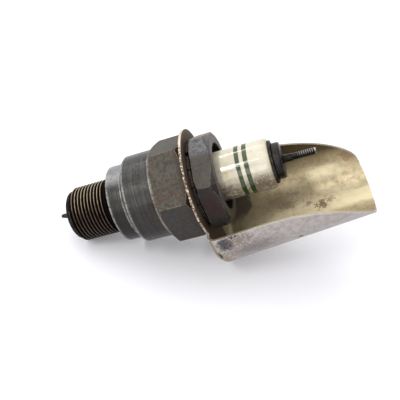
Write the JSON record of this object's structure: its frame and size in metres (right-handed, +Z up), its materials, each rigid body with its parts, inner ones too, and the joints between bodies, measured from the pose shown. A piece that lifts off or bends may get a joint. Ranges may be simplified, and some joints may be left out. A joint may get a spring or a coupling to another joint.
{
  "type": "spark plug",
  "caption": "Take-apart spark plug: threaded steel shell, gland nut, banded porcelain, round terminal nut, and a sheet trough shielding the terminal.",
  "frame": {"origin": "middle of the bounding box, on the table the plug lies on", "axes": "+X from the nose towards the terminal along the table, +Z up; the plug's axis lies in the XZ plane and rises 26.48 degrees towards +X; +Y away from the pictured side"},
  "size_m": [0.124, 0.0484, 0.0543],
  "materials": {
    "shell_steel": "dark oxidised turned steel",
    "gland_steel": "pitted plated steel",
    "shield_brass": "worn nickel plate over brass",
    "ring_brass": "worn tan brass",
    "porcelain": "cream glaze with green bands",
    "terminal_dark": "near-black, satin",
    "rod_steel": "dark satin",
    "tip_nickel": "sooty",
    "electrode_nickel": "sooty",
    "washer_steel": "plain",
    "copper": "soft copper",
    "cement": "dull"
  },
  "bodies": {
    "shell": {"shell_body": "shell_steel", "earth_wire": "electrode_nickel", "seat_gasket": "copper", "insulator": "porcelain", "packing_ring": "copper", "centre_rod": "rod_steel", "electrode_tip": "tip_nickel", "electrode_gasket": "copper", "rod_cement": "cement", "lock_ring": "ring_brass"},
    "shield": {"rain_shield": "shield_brass"},
    "gland_carrier": {"thrust_washer": "washer_steel"},
    "gland": {"gland_nut": "gland_steel"},
    "terminal_carrier": {"terminal_washer": "terminal_dark"},
    "terminal": {"terminal_nut": "terminal_dark"}
  },
  "joints": [
    {"name": "shield_swivel", "type": "hinge", "parent": "shell", "child": "shield", "pos_m": [-0.00851, 0, 0.0327], "axis": [0.8951, 0, 0.4459], "continuous": true},
    {"name": "gland_lift", "type": "slide", "parent": "shell", "child": "gland_carrier", "axis": [0.8951, 0, 0.4459], "range_m": [0, 0.0076]},
    {"name": "gland_turn", "type": "hinge", "parent": "gland_carrier", "child": "gland", "pos_m": [-0.00583, 0, 0.03404], "axis": [0.8951, 0, 0.4459], "range_deg": [0, 1800]},
    {"name": "terminal_lift", "type": "slide", "parent": "shell", "child": "terminal_carrier", "axis": [0.8951, 0, 0.4459], "range_m": [0, 0.0049]},
    {"name": "terminal_turn", "type": "hinge", "parent": "terminal_carrier", "child": "terminal", "pos_m": [0.01968, 0, 0.04675], "axis": [0.8951, 0, 0.4459], "range_deg": [0, 2160]}
  ],
  "couplings": [
    {"joint": "gland_lift", "follows": "gland_turn", "m_per_rad": 0.00023873},
    {"joint": "terminal_lift", "follows": "terminal_turn", "m_per_rad": 0.00012633}
  ]
}
